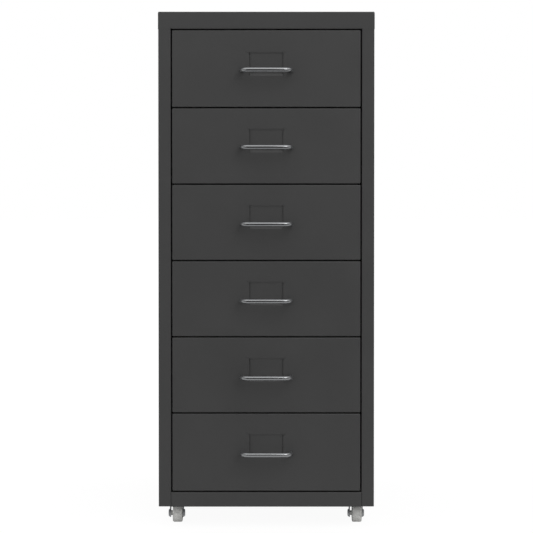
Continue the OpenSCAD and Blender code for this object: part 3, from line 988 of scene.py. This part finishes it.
@dataclass
class Drawer:
    """One drawer: front, tray, back, wire handle and its screws."""

    shop: PaintShop
    number: int
    holder: LabelHolder = field(default_factory=LabelHolder)
    front_gauge: float = 0.9 * MM
    tray_gauge: float = 0.7 * MM
    fold_r: float = 0.6 * MM
    cut_edge: float = 0.1 * MM
    hem_height: float = 7 * MM
    hem_gap: float = 0.1 * MM
    tray_flange: float = 12 * MM
    tray_corner: float = 5.2 * MM
    stop_reach: float = 6 * MM
    stop_inset: float = 10 * MM
    stop_lift: float = 10 * MM
    stop_height: float = 8 * MM
    stop_relief: float = 1.2 * MM
    screw_hole: float = 3.9 * MM
    short_drill: float = 4 * MM
    slit_tool: float = 2 * MM
    wire: float = 6 * MM
    elbow_r: float = 9 * MM
    tap: float = 3.6 * MM
    tap_depth: float = 12 * MM
    wire_facets: int = 32
    elbow_steps: int = 12

    def _name(self, part: str) -> str:
        """Name of one of this drawer's nodes."""
        return f"drawer_{self.number}_{part}"

    @property
    def body(self) -> str:
        """The body that this drawer is."""
        return f"drawer_{self.number}"

    @property
    def feet(self) -> list[Vector]:
        """Middles of the handle's feet, on the front's outer face."""
        place = Place.of(self._name("handle"))
        half = place.size.x / 2 - self.wire / 2
        return [Vector((s * half, place.high.y, place.middle.z)) for s in (-1, 1)]

    def front(self) -> None:
        """Builds the front: a shallow pan with the label holder pressed into it."""
        place = Place.of(self._name("front"))
        sheet = Sheet(self.front_gauge, self.fold_r)
        sheet.pan(place.low, place.high, Y)
        sheet.press()
        self.holder.press_into(sheet, self.feet[0])
        piece = sheet.solid(self._name("front_sheet"))
        join_solids(piece, self.holder.slit_curves(self.feet[0], self.slit_tool), Joining.CUT)
        drill(piece, self.feet, Y, self.screw_hole, self.short_drill)
        soften(piece, self.cut_edge)
        self.shop.dress_new(piece, self._name("front"), self.body, Slot.DRAWER)

    def tray(self) -> None:
        """Builds the tray: floor and sides from one sheet, hemmed above, with flanges for the front."""
        place = Place.of(self._name("tray"))
        half = place.high.x - self.stop_reach
        bottom, top = place.low.z, place.high.z
        start, rear = place.low.y + self.tray_corner, place.high.y - self.tray_corner
        hem = 2 * self.tray_gauge + self.hem_gap
        section = [
            (hem - half, top - self.hem_height), (hem - half, top), (-half, top), (-half, bottom),
            (half, bottom), (half, top), (half - hem, top), (half - hem, top - self.hem_height),
        ]
        sheet = Sheet(self.tray_gauge, self.fold_r)
        sheet.strip([Vector((x, rear, height)) for x, height in section], Y * (start - rear))
        sheet.press()

        def wall(c: Vector) -> bool:
            """Picks what lies in a side wall's outer face."""
            return near(abs(c.x), half)

        def floor(c: Vector) -> bool:
            """Picks what lies in the floor's outer face."""
            return near(c.z, bottom)

        span = (bottom + self.tray_corner, top - self.hem_height)
        reach = half - self.tray_flange
        sheet.score(wall, Z, *span)
        sheet.score(floor, X, -reach, reach)
        for end, ahead in ((start, -self.tray_corner), (rear, self.tray_corner)):
            for s in (-1, 1):
                edges = sheet.free_edges(lambda m: wall(m) and m.x * s > 0 and span[0] < m.z < span[1]
                                         and near(m.y, end))
                sheet.flange(edges, Y * ahead, X * (-s * self.tray_flange))
            edges = sheet.free_edges(lambda m: floor(m) and near(m.y, end) and abs(m.x) < reach)
            sheet.flange(edges, Y * ahead, Z * self.tray_flange)
        stop_y = place.high.y - self.stop_inset
        self._stops(sheet, wall, Vector((half, stop_y, bottom + self.stop_lift)))
        piece = sheet.solid(self._name("tray_sheet"))
        soften(piece, self.cut_edge)
        self.shop.dress_new(piece, self._name("tray"), self.body, Slot.DRAWER)

    def _stops(self, sheet: Sheet, wall: Callable[[Vector], bool], corner: Vector) -> None:
        """Lances a stop tab out of each side wall, with a relief slot round its root.

        Args:
            sheet: The tray, before it gets its thickness.
            wall: Picks what lies in a side wall.
            corner: Lower front corner of the right tab.
        """
        top, relief = corner.z + self.stop_height, self.stop_relief
        root, end = corner.y - relief, corner.y + self.stop_reach

        def in_rows(c: Vector) -> bool:
            """Picks the part of the walls at the window's height."""
            return wall(c) and corner.z - relief < c.z < top + relief

        def in_tab(c: Vector) -> bool:
            """Picks the part of the walls at the tab's height."""
            return wall(c) and corner.z < c.z < top

        sheet.score(wall, Z, corner.z - relief, corner.z, top, top + relief)
        sheet.score(in_rows, Y, root, corner.y, end)
        sheet.cut_away(lambda c: in_rows(c) and root < c.y < end and not (in_tab(c) and c.y < corner.y))
        for s in (-1, 1):
            edges = sheet.free_edges(lambda m: in_tab(m) and near(m.y, corner.y) and m.x * s > 0)
            sheet.flange(edges, X * (s * self.stop_reach))

    def back(self) -> None:
        """Builds the tray's back: a flat sheet, hemmed above, inside the tray's rear flanges."""
        place = Place.of(self._name("back"))
        low, high = place.low, place.high
        sheet = Sheet(self.tray_gauge, self.fold_r)
        hem_y = high.y - 2 * self.tray_gauge - self.hem_gap
        path = [(high.y, low.z), (high.y, high.z), (hem_y, high.z), (hem_y, high.z - self.hem_height)]
        sheet.strip([Vector((low.x, y, z)) for y, z in path], X * (high.x - low.x))
        piece = sheet.solid(self._name("back_sheet"))
        soften(piece, self.cut_edge)
        self.shop.dress_new(piece, self._name("back"), self.body, Slot.DRAWER)

    def handle(self) -> None:
        """Builds the handle: one wire with two elbows and a tapped hole in each foot."""
        place = Place.of(self._name("handle"))
        left, right = self.feet
        bar_y = place.low.y + self.wire / 2
        leg = left.y - bar_y - self.elbow_r
        bm = bmesh.new()
        ring = bmesh.ops.create_circle(
            bm, segments=self.wire_facets, radius=self.wire / 2,
            matrix=Matrix.Translation(left) @ turned_to(-Y),
        )["verts"]
        first = list({edge for vert in ring for edge in vert.link_edges})
        last = self._drawn(bm, first, Y * -leg)
        elbow = Vector((left.x + self.elbow_r, left.y - leg, left.z))
        last = self._elbow(bm, last, elbow)
        last = self._drawn(bm, last, X * (right.x - left.x - 2 * self.elbow_r))
        elbow.x = right.x - self.elbow_r
        last = self._elbow(bm, last, elbow)
        last = self._drawn(bm, last, Y * leg)
        for edges, foot in ((first, left), (last, right)):
            self._tapped_foot(bm, edges, foot)
        bmesh.ops.recalc_face_normals(bm, faces=bm.faces[:])
        piece = add_object(bm, self._name("wire_handle"))
        self.shop.dress_new(piece, self._name("handle"), self.body, Slot.WIRE)

    @staticmethod
    def _drawn(bm: BMesh, edges: list[BMEdge], move: Vector) -> list[BMEdge]:
        """Draws a ring of edges out straight and returns its new end."""
        new = set(verts_in(bmesh.ops.extrude_edge_only(bm, edges=edges)["geom"]))
        bmesh.ops.translate(bm, verts=list(new), vec=move)
        return [e for e in bm.edges if e.verts[0] in new and e.verts[1] in new]

    def _elbow(self, bm: BMesh, edges: list[BMEdge], centre: Vector) -> list[BMEdge]:
        """Bends a ring of edges a quarter turn about a point and returns its new end."""
        verts = list({vert for edge in edges for vert in edge.verts})
        made = bmesh.ops.spin(
            bm, geom=verts + edges, cent=centre, axis=Z, angle=math.pi / 2, steps=self.elbow_steps,
            use_duplicate=False,
        )["geom_last"]
        return [item for item in made if isinstance(item, BMEdge)]

    def _tapped_foot(self, bm: BMesh, edges: list[BMEdge], foot: Vector) -> None:
        """Closes a foot with a flat ring and a blind tapped hole.

        Args:
            bm: The handle.
            edges: The free edge of the foot.
            foot: Middle of the foot.
        """
        inner = self._drawn(bm, edges, Vector((0, 0, 0)))
        verts = list({vert for edge in inner for vert in edge.verts})
        share = self.tap / self.wire
        bmesh.ops.scale(bm, vec=(share, 1, share), space=Matrix.Translation(-foot), verts=verts)
        end = self._drawn(bm, inner, Y * -self.tap_depth)
        bmesh.ops.contextual_create(bm, geom=end)

    def build(self) -> None:
        """Builds the drawer's pieces and dresses its screws."""
        self.front()
        self.tray()
        self.back()
        self.handle()
        self.shop.dress_node(self._name("screws"), Slot.SCREW)


# ------------------------------------------------------------------------------------------------ castors


@dataclass
class Castor:
    """One swivel castor: plate, pressed fork, axle and moulded wheel."""

    shop: PaintShop
    corner: Corner
    crown: float = 28.8 * MM
    fork_gauge: float = 1.3 * MM
    fork_gap: float = 15.6 * MM
    leg_end_r: float = 5.7 * MM
    leg_reach: float = 8.9 * MM
    leg_lean: float = 0.4
    crown_gap: float = 1.4 * MM
    crown_edge: float = 1.6 * MM
    pin_hole: float = 6.1 * MM
    axle: float = 4 * MM
    axle_head: float = 10 * MM
    axle_head_height: float = 1.9 * MM
    bore: float = 4.1 * MM
    hub: float = 6.4 * MM
    tread: float = 12.8 * MM
    shoulder: float = 1.8 * MM
    wall: float = 2.8 * MM
    dish: float = 3 * MM
    draft: float = 1 * MM
    mould_line: float = 0.12 * MM
    mould_rise: float = 0.04 * MM
    edge: float = 0.35 * MM
    hub_edge: float = 0.3 * MM
    dish_r: float = 0.6 * MM
    crown_facets: int = 48
    axle_facets: int = 40
    wheel_facets: int = 64

    def _name(self, part: str) -> str:
        """Name of one of this castor's nodes."""
        return f"castor_{self.corner.value}_{part}"

    @property
    def hub_centre(self) -> Vector:
        """Middle of the axle."""
        return Place.of(self._name("axle")).middle

    def fork(self) -> None:
        """Builds the fork: a cupped crown with two legs."""
        place = Place.of(self._name("fork"))
        pivot = Vector((place.middle.x, place.high.y - self.crown / 2, 0))
        base = Place.of(self._name("wheel")).high.z + self.crown_gap
        r, t, rim = self.crown / 2, self.fork_gauge, place.high.z
        cup = turn(
            [
                Ring(base, self.pin_hole / 2), Ring(base, r, self.crown_edge), Ring(rim, r, self.edge),
                Ring(rim, r - t, self.edge), Ring(base + t, r - t, self.edge),
                Ring(base + t, self.pin_hole / 2),
            ],
            pivot, Z, closed=True, steps=self.crown_facets,
        )
        piece = add_object(cup, self._name("fork_pressing"))
        for s in (-1, 1):
            join_solids(piece, self._leg(s, Vector((pivot.x, pivot.y, base))), Joining.ADD)
        drill(piece, [self.hub_centre], X, self.axle, 2 * self.fork_gap)
        soften(piece, self.edge)
        self.shop.dress_new(piece, self._name("fork"), f"{self.corner.value}_fork", Slot.CASTOR)

    def _leg(self, side: int, crown: Vector) -> BMesh:
        """Builds one leg of the fork: flat, round at the axle and wide at the crown.

        Args:
            side: -1 for the left leg, 1 for the right one.
            crown: Middle of the crown's underside.

        Returns:
            The leg.
        """
        hub, t = self.hub_centre, self.fork_gauge
        x = hub.x + side * (self.fork_gap + t) / 2
        leg = rods([Vector((x, hub.y, hub.z))], X, 2 * self.leg_end_r, t)
        front = hub.y - self.leg_end_r * self.leg_lean
        head = Vector((t, crown.y + self.leg_reach - front, t))
        middle = Vector((x, front + head.y / 2, crown.z))
        block = Matrix.Translation(middle) @ Matrix.Diagonal((*head, 1))
        bmesh.ops.create_cube(leg, size=1, matrix=block)
        made = bmesh.ops.convex_hull(leg, input=leg.verts[:])
        hull = set(made["geom"])
        unused = {item for key in ("geom_interior", "geom_unused") for item in made[key]}
        bmesh.ops.delete(leg, geom=verts_in(unused), context="VERTS")
        inner = [face for face in leg.faces if face not in hull]
        bmesh.ops.delete(leg, geom=inner, context="FACES_ONLY")
        bmesh.ops.dissolve_limit(leg, angle_limit=FLAT_ANGLE, verts=leg.verts[:], edges=leg.edges[:])
        bmesh.ops.recalc_face_normals(leg, faces=leg.faces[:])
        return leg

    def pin(self) -> None:
        """Builds the axle: a riveted pin with a flat round head at each end."""
        half = self.fork_gap / 2 + self.fork_gauge
        r, h, head = self.axle / 2, self.axle_head_height, self.axle_head / 2
        profile = [
            Ring(-half - h, 0), Ring(-half - h, head - h / 2, h / 2), Ring(-half - h / 2, head, self.edge),
            Ring(-half, head), Ring(-half, r), Ring(half, r), Ring(half, head),
            Ring(half + h / 2, head, self.edge), Ring(half + h, head - h / 2, h / 2), Ring(half + h, 0),
        ]
        rivet = turn(profile, self.hub_centre, X, closed=False, steps=self.axle_facets)
        piece = add_object(rivet, self._name("axle_rivet"))
        self.shop.dress_new(piece, self._name("axle"), f"{self.corner.value}_fork", Slot.CASTOR)

    def wheel(self) -> None:
        """Builds the wheel: a moulded tread on a thin web and a hub, dished on both sides."""
        place = Place.of(self._name("wheel"))
        r, half = place.size.z / 2, place.size.x / 2
        left, right = half - self.tread, half
        middle, rim = (left + right) / 2, r - self.wall
        hub, bore, line = self.hub / 2, self.bore / 2, self.mould_line
        profile = [
            Ring(-half, bore), Ring(-half, hub, self.hub_edge), Ring(left + self.dish, hub, self.dish_r),
            Ring(left + self.dish, rim - self.draft, self.dish_r), Ring(left, rim, self.edge),
            Ring(left, r, self.shoulder), Ring(middle - line, r), Ring(middle, r + self.mould_rise),
            Ring(middle + line, r), Ring(right, r, self.shoulder), Ring(right, rim, self.edge),
            Ring(right - self.dish, rim - self.draft, self.dish_r),
            Ring(right - self.dish, hub, self.dish_r), Ring(right, hub, self.hub_edge), Ring(right, bore),
        ]
        moulding = turn(profile, self.hub_centre, X, closed=True, steps=self.wheel_facets)
        piece = add_object(moulding, self._name("wheel_moulding"))
        self.shop.dress_new(piece, self._name("wheel"), f"{self.corner.value}_wheel", Slot.WHEEL)

    def build(self) -> None:
        """Builds the castor's pieces and dresses its plate."""
        self.fork()
        self.pin()
        self.wheel()
        self.shop.dress_node(self._name("plate"), Slot.CASTOR)


# ------------------------------------------------------------------------------------------------- studio


@dataclass(frozen=True)
class Card:
    """A card that the metal and the paint mirror. It blocks no light and the camera doesn't see it."""

    name: str
    tone: str
    centre: tuple[float, float, float]
    facing: tuple[float, float, float]
    width: float
    height: float

    def stand(self) -> None:
        """Puts the card up."""
        bm = bmesh.new()
        bmesh.ops.create_grid(bm, x_segments=1, y_segments=1, size=0.5)
        size = Matrix.Diagonal((self.width, self.height, 1, 1))
        turn_up = Vector(self.facing).to_track_quat("Z", "Y").to_matrix().to_4x4()
        bmesh.ops.transform(bm, matrix=Matrix.Translation(self.centre) @ turn_up @ size, verts=bm.verts[:])
        card = add_object(bm, self.name)
        made = bpy.data.materials.new(f"{self.name}_tone")
        made.use_nodes = True
        tree = made.node_tree
        tree.nodes.clear()
        glow = add_node(tree, "ShaderNodeEmission", values={"Color": linear(self.tone), "Strength": 1.0})
        add_node(tree, "ShaderNodeOutputMaterial", links={"Surface": glow.outputs[0]})
        card.data.materials.append(made)
        card.visible_camera = False
        card.visible_diffuse = False
        card.visible_shadow = False


# The two floor cards lie just above the floor and meet in front of the cabinet.
CARDS = (
    Card("front_card", "#0c0c0c", (0.0, -8.0, 2.5), (0, 1, 0), width=16.0, height=5.0),
    Card("far_floor_card", "#0c0c0c", (0.0, -7.325, 0.0002), (0, 0, 1), width=16.0, height=13.35),
    Card("near_floor_card", "#a4a4a4", (0.0, -0.075, 0.0003), (0, 0, 1), width=6.0, height=1.15),
    Card("left_card", "#8c8c8c", (-1.8, -0.4, 1.1), (1, 0, 0), width=5.6, height=2.2),
    Card("right_card", "#7c7c7c", (1.8, -0.4, 0.8), (-1, 0, 0), width=5.6, height=1.6),
    Card("top_card", "#d4d4d4", (0.0, -2.0, 5.2), (0, 0, -1), width=12.0, height=12.0),
)


@dataclass(frozen=True)
class Lamp:
    """A square soft lamp that is aimed at the cabinet."""

    name: str
    aim: tuple[float, float, float]
    away: tuple[float, float, float]
    distance: float
    size: float
    power: float
    mirrored: bool

    def hang(self) -> None:
        """Hangs the lamp."""
        away = Vector(self.away).normalized()
        data = bpy.data.lights.new(self.name, "AREA")
        data.shape = "SQUARE"
        data.size = self.size
        data.energy = self.power
        lamp = bpy.data.objects.new(self.name, data)
        lamp.location = Vector(self.aim) + away * self.distance
        lamp.rotation_euler = away.to_track_quat("Z", "Y").to_euler()
        lamp.visible_glossy = self.mirrored
        bpy.context.scene.collection.objects.link(lamp)


LAMPS = (
    Lamp("key_lamp", (0.0, -0.1, 0.35), (10.5, -24.0, 17.0), distance=7.0, size=4.0, power=80.0,
         mirrored=True),
    # A weak light low in front, which reaches under the rail and softens the shadows of the handles.
    Lamp("low_fill_lamp", (0.0, -0.1, 0.1), (-2.0, -24.0, 3.0), distance=6.0, size=2.0, power=50.0,
         mirrored=False),
)


@dataclass
class Studio:
    """White floor and surround, two soft lamps, the cards that the metal mirrors, and the camera."""

    floor_radius: float = 14.0
    floor_facets: int = 64
    floor_paint: str = "#eeeeee"
    white: str = "#ffffff"
    floor_share: float = 0.9
    floor_glow: float = 1.05
    ambient: float = 0.8
    lens: float = 129.35
    sensor: float = 36.0
    shift_down: float = 0.11
    eye: tuple[float, float, float] = (0.00022, -2.690025, 0.47485)
    tilt_down: float = math.radians(1.287)

    def floor(self) -> None:
        """Lays a white floor that keeps a light shadow and shows white to the camera and in metal."""
        bm = bmesh.new()
        bmesh.ops.create_circle(bm, cap_ends=True, segments=self.floor_facets, radius=self.floor_radius)
        floor = add_object(bm, "studio_floor")
        made = bpy.data.materials.new("matt_white_floor")
        made.use_nodes = True
        tree = made.node_tree
        tree.nodes.clear()
        share = add_node(
            tree, "ShaderNodeMath", {"operation": "MULTIPLY"}, {1: self.floor_share}, {0: self._seen(tree)}
        )
        paint = add_node(tree, "ShaderNodeBsdfDiffuse", values={"Color": linear(self.floor_paint)})
        glow = add_node(
            tree, "ShaderNodeEmission", values={"Color": linear(self.white), "Strength": self.floor_glow}
        )
        mix = add_node(
            tree, "ShaderNodeMixShader",
            links={0: share.outputs[0], 1: paint.outputs[0], 2: glow.outputs[0]},
        )
        add_node(tree, "ShaderNodeOutputMaterial", links={"Surface": mix.outputs[0]})
        floor.data.materials.append(made)

    @staticmethod
    def _seen(tree: bpy.types.NodeTree) -> bpy.types.NodeSocket:
        """Returns 1 for the camera's rays and for those in mirrors and glass, else 0."""
        ray = add_node(tree, "ShaderNodeLightPath")
        mirror = add_node(
            tree, "ShaderNodeMath", {"operation": "MAXIMUM"},
            links={0: ray.outputs["Is Glossy Ray"], 1: ray.outputs["Is Transmission Ray"]},
        )
        seen = add_node(
            tree, "ShaderNodeMath", {"operation": "MAXIMUM"},
            links={0: ray.outputs["Is Camera Ray"], 1: mirror.outputs[0]},
        )
        return seen.outputs[0]

    def surround(self) -> None:
        """Fills the world with soft light, white to the camera and in metal."""
        world = bpy.data.worlds.new("white_surround")
        world.use_nodes = True
        tree = world.node_tree
        tree.nodes.clear()
        strength = add_node(
            tree, "ShaderNodeMapRange",
            values={"To Min": self.ambient, "To Max": 1.0},
            links={"Value": self._seen(tree)},
        )
        light = add_node(
            tree, "ShaderNodeBackground", values={"Color": linear(self.white)},
            links={"Strength": strength.outputs["Result"]},
        )
        add_node(tree, "ShaderNodeOutputWorld", links={"Surface": light.outputs[0]})
        bpy.context.scene.world = world

    def camera(self) -> None:
        """Sets up the camera, tilted a little downwards."""
        data = bpy.data.cameras.new("camera")
        data.sensor_fit = "HORIZONTAL"
        data.sensor_width = self.sensor
        data.lens = self.lens
        data.shift_y = -self.shift_down
        camera = bpy.data.objects.new("camera", data)
        camera.location = self.eye
        camera.rotation_euler = (math.pi / 2 - self.tilt_down, 0, 0)
        bpy.context.scene.collection.objects.link(camera)
        bpy.context.scene.camera = camera

    def build(self) -> None:
        """Sets up the whole studio."""
        self.camera()
        self.floor()
        self.surround()
        for lamp in LAMPS:
            lamp.hang()
        for card in CARDS:
            card.stand()
        bpy.context.scene.view_settings.view_transform = "Standard"


def main() -> None:
    """Builds the studio and the cabinet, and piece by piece."""
    logging.basicConfig(level=logging.INFO, format="%(name)s: %(message)s", stream=sys.stdout)
    Studio().build()
    shop = PaintShop()
    Carcass(shop).build()
    drawers = [name for name in frame["bodies"] if name.startswith("drawer_")]
    for number in range(1, len(drawers) + 1):
        Drawer(shop, number).build()
    for corner in Corner:
        Castor(shop, corner).build()
    shop.dress_node("castor_screws", Slot.SCREW)
    shop.dress_node("castor_kingpins", Slot.CASTOR)
    shop.dress_node("castor_balls", Slot.BALL)


if __name__ == "__main__":
    main()
